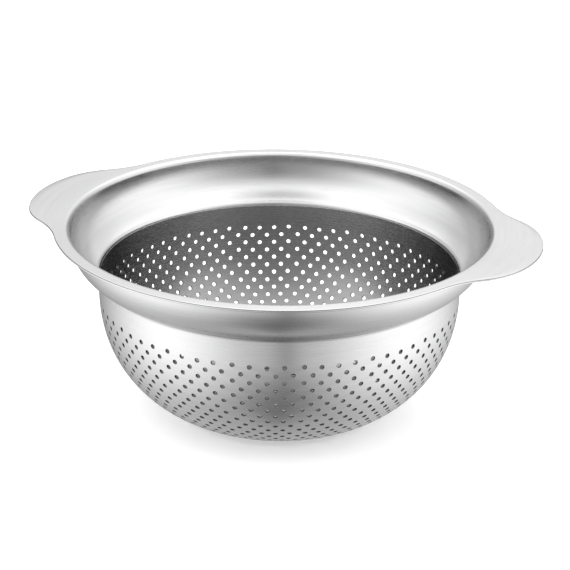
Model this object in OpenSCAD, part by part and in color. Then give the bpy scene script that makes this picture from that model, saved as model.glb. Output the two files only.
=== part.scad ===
// Kitchen sieve of drawn steel sheet, millimetres.
// The origin is the centre of the base, Z points up and the two ears lie along X.

/* [Sheet] */
// Thickness of the steel sheet
sheet = 1.2; // [0.8:0.1:1.5]

/* [Rim] */
// Height of the rim above the surface that the sieve stands on
height = 112; // [105:1:125]
// Diameter across the flat rim
rim_d = 255; // [248:1:270]
// Diameter at which the flat rim starts to turn down
mouth_d = 242; // [236:1:246]
// Radius of the bend from the rim into the collar
rim_bend_r = 2.7; // [2:0.1:4]

/* [Collar] */
// Radius of the hollow curve of the collar
collar_r = 25.6; // [22:0.1:30]
// Radius of the bend from the collar into the basket wall
ledge_bend_r = 3.1; // [2.5:0.1:4.5]

/* [Ears] */
// How far an ear stands out from the rim
ear_reach = 21; // [18:0.5:30]
// Radius of the broad tip of an ear
ear_tip_r = 70; // [62:1:80]
// Radius of the corners beside the tip
ear_corner_r = 44; // [38:1:50]
// Half angle of the broad tip, in degrees
ear_tip_angle = 23.5; // [18:0.5:28]
// Radius of the hollow sweep from an ear back to the rim
ear_sweep_r = 60; // [45:1:80]

/* [Basket] */
// Outer diameter of the upright basket wall
basket_d = 206; // [200:1:212]
// Depth below the rim at which the basket wall starts to curve in
upright_depth = 40.2; // [36:0.1:44]
// Outer radius of the gentle curve at the top of the bowl
shoulder_r = 85.8; // [75:0.1:95]
// Angle through which the gentle curve turns, in degrees
shoulder_turn = 14; // [8:0.5:20]
// How far below the base the bowl would bottom out if its curve went on
bowl_dip = 2.3; // [1.5:0.1:5]
// Outer radius of the small curve into the flat base
base_corner_r = 12; // [8:0.5:20]

/* [Bands] */
// Width of a band of the bowl, one for each row of its holes, along the curve
row_pitch = 4.8; // [4.2:0.1:7]
// Distance from the start of the curve to the middle of the first band
first_row_drop = 3.1; // [3:0.1:8]
// Least distance from the middle of the last band to the end of the curve
last_row_margin = 8; // [4:0.5:20]

/* [Holes] */
// Diameter of a drain hole in the base
hole_d = 2.6; // [1.5:0.1:3.2]
// Distance between two rings of holes in the base
base_pitch = 7.5; // [5:0.5:15]
// Plain band between the last ring and the edge of the flat base
base_margin = 8; // [4:0.5:15]

/* [Hidden] */
$fn = 96;
hole_fn = 24;
// How far a cut runs past the sheet on each side
overrun = 1;
// Angle by which the base corner runs on into its neighbours, in degrees
lap = 0.5;
// How far tangent rounds run over each other, so that their outlines cross cleanly
blend = 0.002;
rim_r = rim_d / 2;
mouth_r = mouth_d / 2;
wall_r = basket_d / 2;
// Centre of the collar curve, level with the foot of the rim bend
collar_x = mouth_r - rim_bend_r - collar_r;
collar_z = height - rim_bend_r;
// The collar turns until the next bend stands tangent to the basket wall
collar_turn = acos((wall_r - sheet + ledge_bend_r - collar_x) / (collar_r + ledge_bend_r));
ledge_x = collar_x + (collar_r + ledge_bend_r) * cos(collar_turn);
ledge_z = collar_z - (collar_r + ledge_bend_r) * sin(collar_turn);
// Centres of the two curves of the bowl, which meet tangent to each other
bowl_z = height - upright_depth;
shoulder_x = wall_r - shoulder_r;
bowl_r = (bowl_z + bowl_dip - shoulder_r * sin(shoulder_turn)) / (1 - sin(shoulder_turn));
bowl_c = [shoulder_x + (shoulder_r - bowl_r) * cos(shoulder_turn), bowl_r - bowl_dip];
shoulder_length = shoulder_r * shoulder_turn * PI / 180;
// Ear centres: tip, corner and sweep, for the half with Y above zero
tip_c = [rim_r + ear_reach - ear_tip_r, 0];
corner_c = tip_c + (ear_tip_r - ear_corner_r) * [cos(ear_tip_angle), sin(ear_tip_angle)];
corner_away = norm(corner_c);
rim_to_sweep = rim_r + ear_sweep_r;
corner_to_sweep = ear_corner_r + ear_sweep_r;
// Angle at the origin of the triangle origin, corner centre, sweep centre
sweep_swing = acos((pow(corner_away, 2) + pow(rim_to_sweep, 2) - pow(corner_to_sweep, 2))
    / (2 * corner_away * rim_to_sweep));
sweep_angle = atan2(corner_c[1], corner_c[0]) + sweep_swing;
sweep_c = rim_to_sweep * [cos(sweep_angle), sin(sweep_angle)];
// Bands of the bowl, each with one row of holes in its middle
bowl_end = asin((bowl_c[1] - base_corner_r) / (bowl_r - base_corner_r));
curve_length = shoulder_length + bowl_r * (bowl_end - shoulder_turn) * PI / 180;
rows = 1 + floor((curve_length - first_row_drop - last_row_margin) / row_pitch);

// Slope of the sheet at a row, measured from upright
function turn_at(row) =
    let (along = first_row_drop + row * row_pitch)
    along < shoulder_length
        ? along / shoulder_r * 180 / PI
        : shoulder_turn + (along - shoulder_length) / bowl_r * 180 / PI;
// Place of a row on the half profile
function row_place(row) =
    let (turn = turn_at(row))
    turn < shoulder_turn
        ? [shoulder_x + shoulder_r * cos(turn), bowl_z - shoulder_r * sin(turn)]
        : bowl_c + bowl_r * [cos(turn), -sin(turn)];
// Each band lies on a ball centred on the axis that touches the bowl at its row,
// so that a hole punched square to the sheet there has a round edge
function ball_r(row) = row_place(row)[0] / cos(turn_at(row));
function ball_z(row) = row_place(row)[1] + row_place(row)[0] * tan(turn_at(row));

// Base corner, tangent to the ball of the last row and to the base
last_r = ball_r(rows - 1);
last_z = ball_z(rows - 1);
corner_x = sqrt(pow(last_r - base_corner_r, 2) - pow(last_z - base_corner_r, 2));
corner_turn = atan2(last_z - base_corner_r, corner_x);
// Where the line from the last ball's centre to the corner's centre passes the top of the bowl
split_x = (last_z - bowl_z) / tan(corner_turn);
base_rings = floor((corner_x - base_margin) / base_pitch);

// Sector of a circle about a point, between two angles less than 180 apart
module sector(centre, radius, from, to) {
    reach = 2 * radius / cos((to - from) / 2);
    middle = (from + to) / 2;
    translate(centre)
        intersection() {
            circle(r = radius);
            polygon([
                [0, 0],
                reach * [cos(from), sin(from)],
                reach * [cos(middle), sin(middle)],
                reach * [cos(to), sin(to)]
            ]);
        }
}

// Half profile of the space inside the collar, its edge moved in by an inset
module collar_outline(inset) {
    difference() {
        translate([0, collar_z]) square([mouth_r, rim_bend_r]);
        translate([mouth_r, collar_z]) circle(r = rim_bend_r - sheet + inset);
    }
    intersection() {
        translate([0, ledge_z]) square([mouth_r, height - ledge_z]);
        translate([collar_x, collar_z]) circle(r = collar_r + sheet - inset + blend);
    }
    difference() {
        polygon([[0, ledge_z], [ledge_x, ledge_z], [collar_x, collar_z], [0, collar_z]]);
        translate([ledge_x, ledge_z]) circle(r = ledge_bend_r - sheet + inset);
    }
}

// Half profile of the sheet from the flat rim down to the basket wall
module collar_profile() {
    difference() {
        collar_outline(0);
        collar_outline(sheet);
    }
}

// One half of an ear, in plan, with its root inside the rim
module ear_half_plan() {
    sector(tip_c, ear_tip_r, 0, ear_tip_angle);
    translate(corner_c) circle(r = ear_corner_r + blend);
    difference() {
        polygon([[0, 0], tip_c, corner_c, sweep_c]);
        translate(sweep_c) circle(r = ear_sweep_r + blend);
    }
}

// Flat rim with both ears, in plan
module flange_plan() {
    difference() {
        union() {
            circle(r = rim_r);
            for (side = [0, 1], half = [0, 1])
                mirror([side, 0]) mirror([0, half]) ear_half_plan();
        }
        circle(r = mouth_r);
    }
}

module rim_collar() {
    color("gainsboro") {
        translate([0, 0, height - sheet]) linear_extrude(sheet) flange_plan();
        rotate_extrude() collar_profile();
    }
}

// Solid half profile of the basket, its surface moved in by an inset
module basket_outline(inset) {
    translate([0, bowl_z]) square([wall_r - inset, ledge_z - bowl_z]);
    intersection() {
        polygon([
            [split_x, bowl_z],
            [corner_x, base_corner_r],
            [corner_x + base_corner_r / tan(corner_turn), 0],
            [wall_r, 0],
            [wall_r, bowl_z]
        ]);
        square([wall_r - inset, bowl_z]);
        intersection_for (row = [0 : rows - 1])
            translate([0, ball_z(row)]) circle(r = ball_r(row) - inset);
    }
    sector([corner_x, base_corner_r], base_corner_r - inset, -90 - lap, lap - corner_turn);
    polygon([
        [0, inset],
        [corner_x, inset],
        [corner_x, base_corner_r],
        [split_x, bowl_z],
        [0, bowl_z]
    ]);
}

module basket_shell() {
    rotate_extrude()
        difference() {
            basket_outline(0);
            basket_outline(sheet);
        }
}

// Rings of holes in the flat base, six more in each ring
module base_holes() {
    for (ring = [0 : base_rings], step = [0 : max(1, 6 * ring) - 1])
        rotate([0, 0, step * 60 / max(1, ring)])
            translate([ring * base_pitch, 0, -overrun])
                cylinder(h = sheet + 2 * overrun, d = hole_d, $fn = hole_fn);
}

module perforated_basket() {
    color("silver")
        difference() {
            basket_shell();
            base_holes();
        }
}

rim_collar();
perforated_basket();
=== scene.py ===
"""Looks of the kitchen sieve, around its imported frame."""

import bisect
import math

import bpy
from mathutils import Matrix, Vector
from mathutils.geometry import delaunay_2d_cdt


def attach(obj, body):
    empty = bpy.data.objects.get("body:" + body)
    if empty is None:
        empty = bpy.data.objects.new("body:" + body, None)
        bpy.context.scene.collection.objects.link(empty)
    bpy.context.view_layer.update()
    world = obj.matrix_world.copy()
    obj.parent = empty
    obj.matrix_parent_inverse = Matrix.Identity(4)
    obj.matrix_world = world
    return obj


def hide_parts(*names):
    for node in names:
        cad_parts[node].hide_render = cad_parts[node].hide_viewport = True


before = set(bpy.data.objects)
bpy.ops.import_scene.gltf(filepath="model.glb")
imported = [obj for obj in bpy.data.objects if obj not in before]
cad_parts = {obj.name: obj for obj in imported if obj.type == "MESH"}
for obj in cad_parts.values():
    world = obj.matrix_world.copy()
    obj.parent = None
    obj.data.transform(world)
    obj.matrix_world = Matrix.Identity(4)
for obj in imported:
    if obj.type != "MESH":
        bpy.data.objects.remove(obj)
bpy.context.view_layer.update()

MM = 0.001

# Sizes of the part, in millimetres and degrees, as the CAD has them
SHEET = 1.2
HEIGHT = 112.0
RIM_R = 127.5
MOUTH_R = 121.0
RIM_BEND_R = 2.7
COLLAR_R = 25.6
LEDGE_BEND_R = 3.1
EAR_REACH = 21.0
EAR_TIP_R = 70.0
EAR_CORNER_R = 44.0
EAR_TIP_ANGLE = 23.5
EAR_SWEEP_R = 60.0
WALL_R = 103.0
UPRIGHT_DEPTH = 40.2
SHOULDER_R = 85.8
SHOULDER_TURN = 14.0
BOWL_DIP = 2.3
BASE_CORNER_R = 12.0
ROW_PITCH = 4.8
FIRST_ROW_DROP = 3.1
LAST_ROW_MARGIN = 8.0
HOLE_R = 1.3
BASE_PITCH = 7.5
BASE_MARGIN = 8.0
COLLAR_X = MOUTH_R - RIM_BEND_R - COLLAR_R
COLLAR_Z = HEIGHT - RIM_BEND_R
LEDGE_X = WALL_R - SHEET + LEDGE_BEND_R
COLLAR_TURN = math.acos((LEDGE_X - COLLAR_X) / (COLLAR_R + LEDGE_BEND_R))
LEDGE_Z = COLLAR_Z - (COLLAR_R + LEDGE_BEND_R) * math.sin(COLLAR_TURN)

# Punch strokes of the wall's holes: their number, the columns that each has in every row, the
# wider gap between two, how far a stroke hangs in its middle and the angle of the first
STROKES = 17
STROKE_COLUMNS = 4
STROKE_GAP = 1.2
STROKE_SAG = 0.75
STROKE_START = -64.4

# Rounds of the rim's cut edge, of the holes and of the edges at the seam, in millimetres
EDGE_ROUND = 0.36
HOLE_ROUND = 0.13
SEAM_ROUND = 0.3 * EDGE_ROUND
# The wall of a hole as (depth, radius), from the outer surface to the inner one
HOLE_PROFILE = (
    (0.0, HOLE_R + HOLE_ROUND),
    (HOLE_ROUND, HOLE_R),
    (SHEET - HOLE_ROUND, HOLE_R),
    (SHEET, HOLE_R + HOLE_ROUND),
)

# Painted shade, how much darker than the open sheet a face is: inside the basket, on the
# three bands of a hole's wall, on the rounds of the rim's edge and on the collar under the rim
# painted shade over the whole inner surface of the basket
INSIDE_PAINTED_SHADE = 0.45
# painted shade in the holes, on the outer round, the middle band and the inner round of a wall
HOLE_WALL_PAINTED_SHADES = (0.55, 0.9, 0.7)
# painted dark lines, standing in for reflections, on the rounds of the rim's cut edge
EDGE_PAINTED_SHADE = 0.6
# painted shade on the upper part of the collar's inner side, growing towards the rim bend
COLLAR_PAINTED_SHADE = 0.24
# The collar's painted shade starts and is full so many steps below the rim bend, and ends so
# many above
COLLAR_SHADE_START = 16
COLLAR_SHADE_FULL = 2
COLLAR_SHADE_END = 4

# Surfaces of the basket's sheet as (outside, depth, painted shade)
SURFACES = ((True, 0.0, 0.0), (False, SHEET, INSIDE_PAINTED_SHADE))

# Steps of the basket's mesh: along a side of a hole's cell, down the plain wall above the
# holes, down the plain bowl below them and round the corner of the base
CELL_STEPS = 4
HALF_CELL = CELL_STEPS // 2
HOLE_SIDES = 4 * CELL_STEPS
PLAIN_STEPS = 6
TAIL_STEPS = 3
CORNER_STEPS = 8
CELLS = STROKES * STROKE_COLUMNS
AROUND = CELLS * CELL_STEPS
# Angle at which a hole's points start, at the corner of its cell
CELL_CORNER = -135

# Steps of the rim's cross-section: its bends and curves, the flat and the rounds of the edge
LEDGE_STEPS = 8
COLLAR_STEPS = 26
BEND_STEPS = 10
UNDER_BEND_STEPS = 8
FLAT_STEPS = 5
ROUND_STEPS = 4
# Steps of the rim's outline in a quarter: tip, corner and sweep of the ear, then the plain rim
TIP_STEPS = 30
EAR_CORNER_STEPS = 30
SWEEP_STEPS = 34
PLAIN_RIM_STEPS = 106

# Edges that turn by more than this angle are drawn sharp
SMOOTH_ANGLE = 28
# Settings of the triangulation: only what lies inside the outline, and when points are one
CDT_INSIDE = 1
CDT_MERGE = 1e-7

FLOOR_REACH = 6.0
NODE_STEP = 200


def polar(radius, degrees):
    """A plane point at a radius and an angle."""
    a = math.radians(degrees)
    return Vector((radius * math.cos(a), radius * math.sin(a)))


def angle_of(v):
    """Angle of a plane vector, in degrees."""
    return math.degrees(math.atan2(v[1], v[0]))


class SheetMesh:
    """Points of a piece in millimetres, its faces and the painted shade of each of them."""

    def __init__(self):
        self.points, self.faces, self.painted_shade = [], [], []

    def point(self, place):
        """Adds a point and returns its number."""
        self.points.append(place)
        return len(self.points) - 1

    def face(self, corners, shade):
        """Adds a face, darker than the open sheet by a painted shade from 0 to 1."""
        self.faces.append(corners)
        self.painted_shade.append(shade)

    def strip(self, upper, lower, shade, outside=True):
        """Adds quads between two closed rings of points, turned over when they face inside."""
        for i in range(len(upper)):
            j = (i + 1) % len(upper)
            corners = (upper[i], lower[i], lower[j], upper[j])
            self.face(corners if outside else corners[::-1], shade)

    def make_object(self, name):
        """Turns the mesh into a new object of the scene."""
        mesh = bpy.data.meshes.new(name)
        mesh.from_pydata([tuple(c * MM for c in p) for p in self.points], [], self.faces)
        # each face's painted shade goes to the material, which darkens the steel by it
        shade = mesh.attributes.new("painted_shade", "FLOAT", "FACE")
        shade.data.foreach_set("value", self.painted_shade)
        mesh.validate()
        mesh.shade_smooth()
        mesh.set_sharp_from_angle(angle=math.radians(SMOOTH_ANGLE))
        obj = bpy.data.objects.new(name, mesh)
        bpy.context.collection.objects.link(obj)
        return obj


# Perforated basket

class Meridian:
    """Half profile of the basket's outer surface, walked down from where its curve starts."""

    def __init__(self):
        turn = math.radians(SHOULDER_TURN)
        self.bowl_z = HEIGHT - UPRIGHT_DEPTH
        # the seam lies above the start of the curve, so this length is negative
        self.seam = self.bowl_z - LEDGE_Z
        shoulder_x = WALL_R - SHOULDER_R
        shoulder_drop = SHOULDER_R * math.sin(turn)
        bowl_r = (self.bowl_z + BOWL_DIP - shoulder_drop) / (1 - math.sin(turn))
        bowl_x = shoulder_x + (SHOULDER_R - bowl_r) * math.cos(turn)
        bowl_cz = self.bowl_z - (SHOULDER_R - bowl_r) * math.sin(turn)
        shoulder_length = SHOULDER_R * turn
        end = math.asin((bowl_cz - BASE_CORNER_R) / (bowl_r - BASE_CORNER_R))
        length = shoulder_length + bowl_r * (end - turn)
        self.rows = 1 + int((length - FIRST_ROW_DROP - LAST_ROW_MARGIN) // ROW_PITCH)
        # below the last row the bowl goes on as a ball about the axis
        last = FIRST_ROW_DROP + (self.rows - 1) * ROW_PITCH
        last_turn = turn + (last - shoulder_length) / bowl_r
        last_x = bowl_x + bowl_r * math.cos(last_turn)
        last_z = bowl_cz - bowl_r * math.sin(last_turn)
        ball_r = last_x / math.cos(last_turn)
        ball_z = last_z + last_x * math.tan(last_turn)
        self.corner_x = math.sqrt((ball_r - BASE_CORNER_R) ** 2 - (ball_z - BASE_CORNER_R) ** 2)
        corner_turn = math.atan2(ball_z - BASE_CORNER_R, self.corner_x)
        self.corner_start = last + ball_r * (corner_turn - last_turn)
        self.corner_end = self.corner_start + BASE_CORNER_R * (math.pi / 2 - corner_turn)
        # arcs as (start length, centre x, centre z, radius, start turn)
        self.arcs = (
            (0.0, shoulder_x, self.bowl_z, SHOULDER_R, 0.0),
            (shoulder_length, bowl_x, bowl_cz, bowl_r, turn),
            (last, 0.0, ball_z, ball_r, last_turn),
            (self.corner_start, self.corner_x, BASE_CORNER_R, BASE_CORNER_R, corner_turn),
        )
        self.starts = [arc[0] for arc in self.arcs]

    def at(self, s):
        """(radius, height, turn) of the outer surface at a length below the start of the curve."""
        if s < 0:
            return WALL_R, self.bowl_z - s, 0.0
        start, cx, cz, r, start_turn = self.arcs[bisect.bisect_right(self.starts, s) - 1]
        t = start_turn + (s - start) / r
        return cx + r * math.cos(t), cz - r * math.sin(t), t

    def point(self, theta, s, depth):
        """A point under the outer surface, theta in radians and depth into the sheet."""
        r, z, t = self.at(s)
        r -= depth * math.cos(t)
        z += depth * math.sin(t)
        return Vector((r * math.cos(theta), r * math.sin(theta), z))


meridian = Meridian()


def lattice_angle(index):
    """Angle of an upright line of the mesh; a stroke's last half cell takes in the gap."""
    stroke, step = divmod(index, STROKE_COLUMNS * CELL_STEPS)
    stroke_angle = 360.0 / STROKES
    gap = math.degrees(STROKE_GAP / WALL_R)
    angle = step * (stroke_angle - gap) / (STROKE_COLUMNS * CELL_STEPS)
    into_gap = step - (STROKE_COLUMNS * CELL_STEPS - HALF_CELL)
    if into_gap > 0:
        angle += gap * into_gap / HALF_CELL
    return math.radians(STROKE_START + stroke * stroke_angle + angle)


class BasketMesh(SheetMesh):
    """The basket, with quads round every hole on both surfaces and hole walls between them."""

    def __init__(self):
        super().__init__()
        self.angles = [lattice_angle(i) for i in range(AROUND)]
        self.row_edges = [
            FIRST_ROW_DROP + row * ROW_PITCH - ROW_PITCH / 2 for row in range(meridian.rows + 1)
        ]
        # rings of points of each surface: at the top, at the edges of the rows and at the base
        self.top_ring, self.row_rings, self.base_ring = {}, {}, {}
        self.add_plain_bands()
        self.add_seam_edge()
        for row in range(meridian.rows):
            self.add_row(row)
        self.add_base()

    def ring(self, s, depth):
        """Adds a ring of points round the basket, at a length down the profile and a depth."""
        return [self.point(meridian.point(a, s, depth)) for a in self.angles]

    def add_plain_bands(self):
        """Adds both surfaces above and below the holes, and the rings at the edges of the rows."""
        seam, first, last = meridian.seam, self.row_edges[0], self.row_edges[-1]
        start, end = meridian.corner_start, meridian.corner_end
        above = [seam + SEAM_ROUND]
        above += [seam + (first - seam) * k / PLAIN_STEPS for k in range(1, PLAIN_STEPS)]
        below = [last + (start - last) * k / TAIL_STEPS for k in range(1, TAIL_STEPS + 1)]
        below += [start + (end - start) * k / CORNER_STEPS for k in range(1, CORNER_STEPS + 1)]
        for outside, depth, shade in SURFACES:
            rings = [self.ring(s, depth) for s in above + self.row_edges + below]
            rows_end = len(above) + meridian.rows
            for plain in (rings[: len(above) + 1], rings[rows_end:]):
                for upper, lower in zip(plain, plain[1:]):
                    self.strip(upper, lower, shade, outside)
            self.top_ring[outside] = rings[0]
            self.row_rings[outside] = rings[len(above) : rows_end + 1]
            self.base_ring[outside] = rings[-1]

    def add_seam_edge(self):
        """Adds the upper edge of the sheet, chamfered a little towards the seam."""
        outer = self.ring(meridian.seam, SEAM_ROUND)
        inner = self.ring(meridian.seam, SHEET - SEAM_ROUND)
        chain = [self.top_ring[True], outer, inner, self.top_ring[False]]
        for lower, upper in zip(chain, chain[1:]):
            self.strip(upper, lower, 0.0)

    def add_row(self, row):
        """Adds a row of cells with a hole in each; odd rows stand half a cell further round."""
        starts = [(cell * CELL_STEPS + (row % 2 - 1) * HALF_CELL) % AROUND for cell in range(CELLS)]
        downs = [self.row_edges[row] + ROW_PITCH * k / CELL_STEPS for k in range(1, CELL_STEPS)]
        sides = {}
        for outside, depth, _ in SURFACES:
            above, below = self.row_rings[outside][row : row + 2]
            for cell, i in enumerate(starts):
                middle = [self.point(meridian.point(self.angles[i], s, depth)) for s in downs]
                sides[outside, cell] = [above[i], *middle, below[i]]
        for cell, i in enumerate(starts):
            # the holes of a stroke hang on a bow, lowest in its middle
            place = 2 * (cell % STROKE_COLUMNS) + row % 2
            off_middle = (place - STROKE_COLUMNS + 0.5) / (STROKE_COLUMNS - 0.5)
            drop = STROKE_SAG * (0.5 - off_middle ** 2)
            centre = self.angles[(i + HALF_CELL) % AROUND]
            s = FIRST_ROW_DROP + row * ROW_PITCH + drop
            rings = [self.hole_ring(centre, s, radius, depth) for depth, radius in HOLE_PROFILE]
            for (outside, _, shade), ring in zip(SURFACES, (rings[0], rings[-1])):
                above, below = self.row_rings[outside][row : row + 2]
                top = [above[(i + k) % AROUND] for k in range(CELL_STEPS + 1)]
                bottom = [below[(i + k) % AROUND] for k in range(CELL_STEPS + 1)]
                left, right = sides[outside, cell], sides[outside, (cell + 1) % CELLS]
                # walked as the hole's ring is: along the top, down the right side, back and up
                border = top[:-1] + right[:-1] + bottom[:0:-1] + left[:0:-1]
                self.strip(border, ring, shade, outside)
            for upper, lower, shade in zip(rings, rings[1:], HOLE_WALL_PAINTED_SHADES):
                self.strip(upper, lower, shade)

    def hole_ring(self, centre, s, radius, depth):
        """Adds the points round a hole of the wall, starting at the corner of its cell."""
        distance = meridian.at(s)[0]
        ring = []
        for k in range(HOLE_SIDES):
            phi = math.radians(CELL_CORNER + 360 / HOLE_SIDES * k)
            across, down = radius * math.cos(phi), radius * math.sin(phi)
            ring.append(self.point(meridian.point(centre + across / distance, s + down, depth)))
        return ring

    def add_base(self):
        """Adds the flat base with its holes, in rings of six more each."""
        centres = [Vector((0.0, 0.0))]
        for ring in range(1, int((meridian.corner_x - BASE_MARGIN) // BASE_PITCH) + 1):
            centres += [polar(ring * BASE_PITCH, k * 60 / ring) for k in range(6 * ring)]

        def hole_points(radius):
            steps = [polar(radius, 360 / HOLE_SIDES * k) for k in range(HOLE_SIDES)]
            return [centre + step for centre in centres for step in steps]

        # the outline comes first, so that every point after it belongs to a hole
        flat = [self.points[i].to_2d() for i in self.base_ring[True]]
        flat += hole_points(HOLE_R + HOLE_ROUND)
        starts = range(AROUND, len(flat), HOLE_SIDES)
        outlines = [list(range(AROUND))] + [list(range(i, i + HOLE_SIDES)) for i in starts]
        edges = [pair for line in outlines for pair in zip(line, line[1:] + line[:1])]
        _, _, triangles, origins, _, _ = delaunay_2d_cdt(flat, edges, [], CDT_INSIDE, CDT_MERGE)
        levels = [
            [self.point(Vector((*p, depth))) for p in hole_points(radius)]
            for depth, radius in HOLE_PROFILE
        ]
        for (outside, _, shade), level in zip(SURFACES, (levels[0], levels[-1])):
            numbers = self.base_ring[outside] + level
            for triangle in triangles:
                sources = [origins[n][0] for n in triangle]
                holes = {(source - AROUND) // HOLE_SIDES for source in sources}
                if len(holes) == 1 and min(holes) >= 0:
                    continue  # the triangle closes a hole
                corners = tuple(numbers[source] for source in sources)
                self.face(corners[::-1] if outside else corners, shade)
        for first in range(0, len(levels[0]), HOLE_SIDES):
            for upper, lower, shade in zip(levels, levels[1:], HOLE_WALL_PAINTED_SHADES):
                for k in range(HOLE_SIDES):
                    i, j = first + k, first + (k + 1) % HOLE_SIDES
                    self.face((upper[i], upper[j], lower[j], lower[i]), shade)


# Rim, ears and collar

def ear_outline():
    """Outline of the rim with both ears as (point, outward normal) pairs, in plan."""
    tip_c = Vector((RIM_R + EAR_REACH - EAR_TIP_R, 0.0))
    corner_c = tip_c + polar(EAR_TIP_R - EAR_CORNER_R, EAR_TIP_ANGLE)
    a, b, c = corner_c.length, RIM_R + EAR_SWEEP_R, EAR_CORNER_R + EAR_SWEEP_R
    swing = math.degrees(math.acos((a * a + b * b - c * c) / (2 * a * b)))
    sweep_angle = angle_of(corner_c) + swing
    sweep_c = polar(RIM_R + EAR_SWEEP_R, sweep_angle)
    corner_end = angle_of(sweep_c - corner_c)

    def arc(centre, radius, start, end, count, hollow=False):
        pairs = []
        for k in range(count):
            d = polar(1.0, start + (end - start) * k / count)
            pairs.append((centre + d * radius, -d if hollow else d))
        return pairs

    def flip(pair, sx, sy):
        return tuple(Vector((v[0] * sx, v[1] * sy)) for v in pair)

    quarter = arc(tip_c, EAR_TIP_R, 0, EAR_TIP_ANGLE, TIP_STEPS)
    quarter += arc(corner_c, EAR_CORNER_R, EAR_TIP_ANGLE, corner_end, EAR_CORNER_STEPS)
    quarter += arc(sweep_c, EAR_SWEEP_R, corner_end + 180, sweep_angle + 180, SWEEP_STEPS, True)
    quarter += arc(Vector((0.0, 0.0)), RIM_R, sweep_angle, 90, PLAIN_RIM_STEPS)
    # the next quarter runs back along the first, mirrored, and the lower half mirrors both
    last = (Vector((0.0, RIM_R)), Vector((0.0, 1.0)))
    upper = quarter + [last] + [flip(pair, -1, 1) for pair in quarter[:0:-1]]
    lower = [flip(pair, -1, -1) for pair in quarter] + [flip(last, 1, -1)]
    lower += [flip(pair, 1, -1) for pair in quarter[:0:-1]]
    return upper + lower


def collar_profiles():
    """The inner surface from the seam up to the flat rim, and the outer one back down."""
    bend_c = Vector((MOUTH_R, COLLAR_Z))
    collar_c = Vector((COLLAR_X, COLLAR_Z))
    ledge_c = Vector((LEDGE_X, LEDGE_Z))
    turn = math.degrees(COLLAR_TURN)
    # the edges at the seam are chamfered a little, as on the basket
    ledge_end = 180 - math.degrees(SEAM_ROUND / LEDGE_BEND_R)

    def arc(centre, radius, start, end, count):
        return [centre + polar(radius, start + (end - start) * k / count) for k in range(count + 1)]

    inner = [Vector((LEDGE_X - LEDGE_BEND_R + SEAM_ROUND, LEDGE_Z))]
    inner += arc(ledge_c, LEDGE_BEND_R, ledge_end, 180 - turn, LEDGE_STEPS)
    inner += arc(collar_c, COLLAR_R, -turn, 0, COLLAR_STEPS)[1:]
    inner += arc(bend_c, RIM_BEND_R, 180, 90, BEND_STEPS)[1:]
    outer = arc(bend_c, RIM_BEND_R - SHEET, 90, 180, UNDER_BEND_STEPS)
    outer += arc(collar_c, COLLAR_R + SHEET, 0, -turn, COLLAR_STEPS)[1:]
    outer += arc(ledge_c, LEDGE_BEND_R - SHEET, 180 - turn, ledge_end, LEDGE_STEPS)[1:]
    outer.append(Vector((LEDGE_X - LEDGE_BEND_R + SHEET - SEAM_ROUND, LEDGE_Z)))
    return inner, outer


def edge_section(point, normal):
    """The flat rim out to a point of its outline, round the cut edge and back, as points."""
    start = point.normalized() * MOUTH_R
    stop = point - normal * EDGE_ROUND
    section = []
    for k in range(1, FLAT_STEPS + 1):
        p = start.lerp(stop, k / FLAT_STEPS)
        section.append((p[0], p[1], HEIGHT))
    for k in range(1, ROUND_STEPS + 1):
        a = math.radians(90 * k / ROUND_STEPS)
        p = stop + normal * EDGE_ROUND * math.sin(a)
        section.append((p[0], p[1], HEIGHT - EDGE_ROUND * (1 - math.cos(a))))
    for k in range(ROUND_STEPS + 1):
        a = math.radians(90 * k / ROUND_STEPS)
        p = stop + normal * EDGE_ROUND * math.cos(a)
        section.append((p[0], p[1], HEIGHT - SHEET + EDGE_ROUND * (1 - math.sin(a))))
    for k in range(FLAT_STEPS - 1, 0, -1):
        p = start.lerp(stop, k / FLAT_STEPS)
        section.append((p[0], p[1], HEIGHT - SHEET))
    return section


def section_shades(count, rim_start):
    """Painted shade of each step of the rim's cross-section, rim_start being where the flat starts.
    """
    upper_round = rim_start + FLAT_STEPS
    lower_round = upper_round + ROUND_STEPS + 1
    # painted dark lines on the upper round and the under half of the lower one; what lies between
    # stays light
    dark = {
        *range(upper_round, upper_round + ROUND_STEPS),
        *range(lower_round + ROUND_STEPS // 2, lower_round + ROUND_STEPS),
    }
    bend_start = rim_start - BEND_STEPS
    fade = COLLAR_SHADE_START - COLLAR_SHADE_FULL
    shades = []
    for k in range(count):
        if k in dark:
            shades.append(EDGE_PAINTED_SHADE)
        elif k < bend_start + COLLAR_SHADE_END:
            part = (k - bend_start + COLLAR_SHADE_START) / fade
            shades.append(COLLAR_PAINTED_SHADE * min(max(part, 0.0), 1.0))
        else:
            shades.append(0.0)
    return shades


def rim_mesh():
    """The rim, ears and collar as one strip of quads round a closed cross-section."""

    def swung(direction, p):
        plan = direction * p[0]
        return plan[0], plan[1], p[1]

    mesh = SheetMesh()
    inner, outer = collar_profiles()
    columns = []
    for point, normal in ear_outline():
        direction = point.normalized()
        section = [swung(direction, p) for p in inner]
        section += edge_section(point, normal)
        section += [swung(direction, p) for p in outer]
        columns.append([mesh.point(p) for p in section])
    shades = section_shades(len(columns[0]), len(inner) - 1)
    for here, there in zip(columns, columns[1:] + columns[:1]):
        for k, shade in enumerate(shades):
            after = (k + 1) % len(shades)
            mesh.face((here[k], there[k], there[after], here[after]), shade)
    return mesh


# Materials

def add_node(tree, kind, inputs=None, **settings):
    """A shader node with its settings; each input is set to a value or linked to a socket."""
    n = tree.nodes.new(kind)
    n.location.x = NODE_STEP * len(tree.nodes)
    for key, value in settings.items():
        setattr(n, key, value)
    for key, value in (inputs or {}).items():
        if isinstance(value, bpy.types.NodeSocket):
            tree.links.new(value, n.inputs[key])
        else:
            n.inputs[key].default_value = value
    return n


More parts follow.
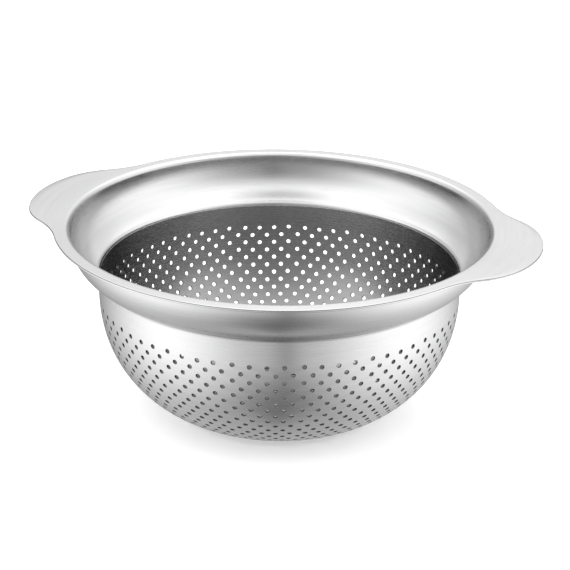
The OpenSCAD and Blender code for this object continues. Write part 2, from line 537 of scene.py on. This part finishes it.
def brushed_steel(name, colour, roughness, drawn_out, streak, grain):
    """Steel brushed round the axis: stretched grain in colour, roughness and bump."""
    mat = bpy.data.materials.new(name)
    mat.use_nodes = True
    tree = mat.node_tree
    tree.nodes.clear()

    # angle, radius and height as one vector, so that the grain runs round the axis
    place = add_node(tree, "ShaderNodeTexCoord").outputs["Object"]
    x, y, z = add_node(tree, "ShaderNodeSeparateXYZ", {0: place}).outputs
    swing = add_node(tree, "ShaderNodeMath", {0: y, 1: x}, operation="ARCTAN2")
    flat = add_node(tree, "ShaderNodeCombineXYZ", {"X": x, "Y": y})
    reach = add_node(tree, "ShaderNodeVectorMath", {0: flat.outputs[0]}, operation="LENGTH")
    ringed = add_node(
        tree,
        "ShaderNodeCombineXYZ",
        {"X": swing.outputs[0], "Y": reach.outputs["Value"], "Z": z},
    )

    def noise(vector, scale, detail):
        inputs = {"Vector": vector, "Scale": scale, "Detail": detail}
        return add_node(tree, "ShaderNodeTexNoise", inputs).outputs["Fac"]

    def stretched_noise(along, across, detail):
        inputs = {"Vector": ringed.outputs[0], "Scale": (along, across, across)}
        mapping = add_node(tree, "ShaderNodeMapping", inputs)
        return noise(mapping.outputs[0], 1.0, detail)

    fine = stretched_noise(along=9.0, across=2600.0, detail=3.0)
    broad = stretched_noise(along=2.2, across=420.0, detail=2.0)
    cloud = noise(place, scale=22.0, detail=2.0)

    # broad streaks in the colour, the light ones weaker than the dark, and the painted shade
    # of the face
    tint = add_node(
        tree,
        "ShaderNodeMapRange",
        {"Value": broad, "To Min": 1.0 - streak, "To Max": 1.0 + streak * 0.4},
    )
    paint = add_node(
        tree, "ShaderNodeVectorMath", {0: colour, "Scale": tint.outputs[0]}, operation="SCALE"
    )
    painted_shade = add_node(tree, "ShaderNodeAttribute", attribute_name="painted_shade")
    left_over = add_node(
        tree, "ShaderNodeMath", {0: 1.0, 1: painted_shade.outputs["Fac"]}, operation="SUBTRACT"
    )
    shaded = add_node(
        tree,
        "ShaderNodeVectorMath",
        {0: paint.outputs[0], "Scale": left_over.outputs[0]},
        operation="SCALE",
    )

    mixed = add_node(tree, "ShaderNodeMath", {0: cloud, 1: 0.5, 2: fine}, operation="MULTIPLY_ADD")
    rough = add_node(
        tree,
        "ShaderNodeMapRange",
        {
            "Value": mixed.outputs[0],
            "From Min": 0.4,
            "From Max": 1.1,
            "To Min": roughness - 0.06,
            "To Max": roughness + 0.08,
        },
    )
    bump = add_node(
        tree, "ShaderNodeBump", {"Height": fine, "Strength": grain, "Distance": 0.00002}
    )
    tangent = add_node(tree, "ShaderNodeTangent", direction_type="RADIAL", axis="Z")
    shader = add_node(
        tree,
        "ShaderNodeBsdfPrincipled",
        {
            "Base Color": shaded.outputs[0],
            "Metallic": 1.0,
            "Roughness": rough.outputs[0],
            "Normal": bump.outputs[0],
            # the brushing runs round the axis, so highlights are drawn out up and down the sheet
            "Anisotropic": drawn_out,
            "Anisotropic Rotation": 0.25,
            "Tangent": tangent.outputs[0],
        },
    )
    add_node(tree, "ShaderNodeOutputMaterial", {"Surface": shader.outputs["BSDF"]})
    return mat


# Object

rim_steel = brushed_steel(
    "rim_steel", (0.52, 0.52, 0.522), roughness=0.22, drawn_out=0.85, streak=0.07, grain=0.25
)
basket_steel = brushed_steel(
    "basket_steel", (0.51, 0.51, 0.512), roughness=0.24, drawn_out=0.82, streak=0.07, grain=0.25
)

for piece_name, maker, node_name, slot_name, material in (
    ("rim_and_collar", rim_mesh, "rim_collar", "rim_steel", rim_steel),
    ("basket", BasketMesh, "perforated_basket", "basket_steel", basket_steel),
):
    piece = maker().make_object(piece_name)
    piece.data.materials.append(material)
    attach(piece, "root")
    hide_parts(node_name)
    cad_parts[node_name].data.materials.clear()
    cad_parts[node_name].data.materials.append(material)

# Floor

corners = [(x * FLOOR_REACH, y * FLOOR_REACH, 0) for x, y in ((-1, -1), (1, -1), (1, 1), (-1, 1))]
floor_mesh = bpy.data.meshes.new("floor")
floor_mesh.from_pydata(corners, [], [(0, 1, 2, 3)])
floor = bpy.data.objects.new("floor", floor_mesh)
bpy.context.collection.objects.link(floor)
pale = bpy.data.materials.new("pale_floor")
pale.use_nodes = True
pale_shader = pale.node_tree.nodes["Principled BSDF"]
pale_shader.inputs["Base Color"].default_value = (0.92, 0.92, 0.92, 1)
pale_shader.inputs["Roughness"].default_value = 0.9
# a little light of its own keeps the shadow faint
pale_shader.inputs["Emission Color"].default_value = (1, 1, 1, 1)
pale_shader.inputs["Emission Strength"].default_value = 0.2
floor.data.materials.append(pale)
# the steel reflects the tent and not the floor, as it does over a photographer's table
floor.visible_glossy = False

# Light

# A soft tent: a light wall on each side, a lit back wall over a dark horizon, a light roof, a
# paler floor to the sides and little light from the front. Swing is measured from its front
# and lift from the horizon, in degrees.
# How far the front of the tent is turned about Z from -Y, in degrees
TENT_TURN = 17.8
# Strengths of the walls and of the light from all sides
SIDE_LIGHT = 2.2
FRONT_LIGHT = 0.03
EVEN_LIGHT = 0.12

world = bpy.data.worlds.new("studio")
bpy.context.scene.world = world
world.use_nodes = True
sky = world.node_tree
background = sky.nodes["Background"]


def sky_math(operation, *values):
    """A maths node of the world on sockets or numbers."""
    inputs = dict(enumerate(values))
    return add_node(sky, "ShaderNodeMath", inputs, operation=operation).outputs[0]


def ramp(value, low, high, start, end):
    """A smooth step from start to end, as a value goes from low to high."""
    inputs = {"Value": value, "From Min": low, "From Max": high, "To Min": start, "To Max": end}
    n = add_node(sky, "ShaderNodeMapRange", inputs, interpolation_type="SMOOTHSTEP")
    return n.outputs[0]


def bell(value, middle, width):
    """A bell curve of a value, one at its middle."""
    off = sky_math("DIVIDE", sky_math("SUBTRACT", value, middle), width)
    return sky_math("EXPONENT", times(off, off, -1.0))


def times(*factors):
    """The product of several sockets or numbers."""
    product = factors[0]
    for factor in factors[1:]:
        product = sky_math("MULTIPLY", product, factor)
    return product


def plus(*terms):
    """The sum of several sockets or numbers."""
    total = terms[0]
    for term in terms[1:]:
        total = sky_math("ADD", total, term)
    return total


def one_less(*factors):
    """One less the product of several sockets or numbers."""
    return sky_math("SUBTRACT", 1.0, times(*factors))


toward = add_node(sky, "ShaderNodeTexCoord").outputs["Generated"]
spun = add_node(
    sky,
    "ShaderNodeVectorRotate",
    {"Vector": toward, "Angle": -math.radians(TENT_TURN)},
    rotation_type="Z_AXIS",
)
x, y, z = add_node(sky, "ShaderNodeSeparateXYZ", {0: spun.outputs[0]}).outputs
lift = sky_math("DEGREES", sky_math("ARCSINE", z))
swing = sky_math("DEGREES", sky_math("ARCTAN2", x, times(y, -1.0)))
behind = sky_math("SUBTRACT", 180.0, sky_math("ABSOLUTE", swing))

wall_height = times(
    ramp(lift, low=-71.0, high=-21.0, start=0.0, end=1.0),
    ramp(lift, low=15.0, high=65.0, start=1.0, end=0.3),
    sky_math("SQRT", sky_math("COSINE", sky_math("RADIANS", lift))),
)
walls = plus(
    times(bell(swing, middle=83.8, width=62.0), SIDE_LIGHT),
    times(bell(swing, middle=-73.9, width=60.0), SIDE_LIGHT),
    times(bell(swing, middle=0.0, width=60.0), FRONT_LIGHT),
)
# in front the walls are dimmer in a narrow streak, above the horizon and low down
streak = one_less(bell(swing, middle=5.0, width=7.0), 0.38)
front = one_less(
    bell(swing, middle=0.0, width=42.0),
    ramp(lift, low=-14.0, high=18.0, start=0.0, end=0.46),
)
under = one_less(
    bell(swing, middle=4.0, width=32.0),
    ramp(lift, low=-58.0, high=-32.0, start=0.65, end=0.0),
)
back_wall = times(
    bell(behind, middle=0.0, width=33.0),
    plus(
        ramp(lift, low=9.0, high=20.0, start=0.0, end=1.17),
        ramp(lift, low=26.0, high=42.0, start=0.0, end=0.9),
    ),
    ramp(lift, low=50.0, high=80.0, start=1.0, end=0.0),
)
roof = times(
    ramp(lift, low=20.0, high=72.0, start=0.0, end=1.78),
    ramp(lift, low=71.0, high=85.0, start=1.0, end=0.35),
)
low = times(
    ramp(lift, low=-60.0, high=-25.0, start=0.6, end=0.0),
    one_less(bell(swing, middle=0.0, width=50.0), 0.85),
)
side_light = times(walls, wall_height, streak, front, under)
sky.links.new(plus(side_light, back_wall, roof, low, EVEN_LIGHT), background.inputs["Strength"])
background.inputs["Color"].default_value = (1.0, 1.0, 1.0, 1)

# Camera

# Fitted to the rim, ears, ledge and bowl outline of the photograph, in degrees and metres
CAMERA_TURN = 17.8
CAMERA_RISE = 22.89
CAMERA_ROLL = 0.81
CAMERA_DISTANCE = 0.96145
CAMERA_TARGET = (3.16 * MM, 0.0, (HEIGHT - 39.80) * MM)
FOCAL_PIXELS = 1676.03
PHOTO_PIXELS = 570

rise, roll = math.radians(CAMERA_RISE), math.radians(CAMERA_ROLL)
back = Vector((0, -math.cos(rise), math.sin(rise)))
right = Vector((1, 0, 0))
up = back.cross(right)
right_rolled = right * math.cos(roll) + up * math.sin(roll)
up_rolled = up * math.cos(roll) - right * math.sin(roll)
pose = Matrix((right_rolled, up_rolled, back)).transposed().to_4x4()
pose.translation = Vector(CAMERA_TARGET) + back * CAMERA_DISTANCE
camera_data = bpy.data.cameras.new("camera")
camera_data.sensor_width = 36.0
camera_data.lens = FOCAL_PIXELS * camera_data.sensor_width / PHOTO_PIXELS
camera_data.clip_start = 0.02
camera_data.clip_end = 30.0
camera = bpy.data.objects.new("camera", camera_data)
camera.matrix_world = Matrix.Rotation(math.radians(CAMERA_TURN), 4, "Z") @ pose
bpy.context.collection.objects.link(camera)
bpy.context.scene.camera = camera
bpy.context.scene.view_settings.view_transform = "Standard"
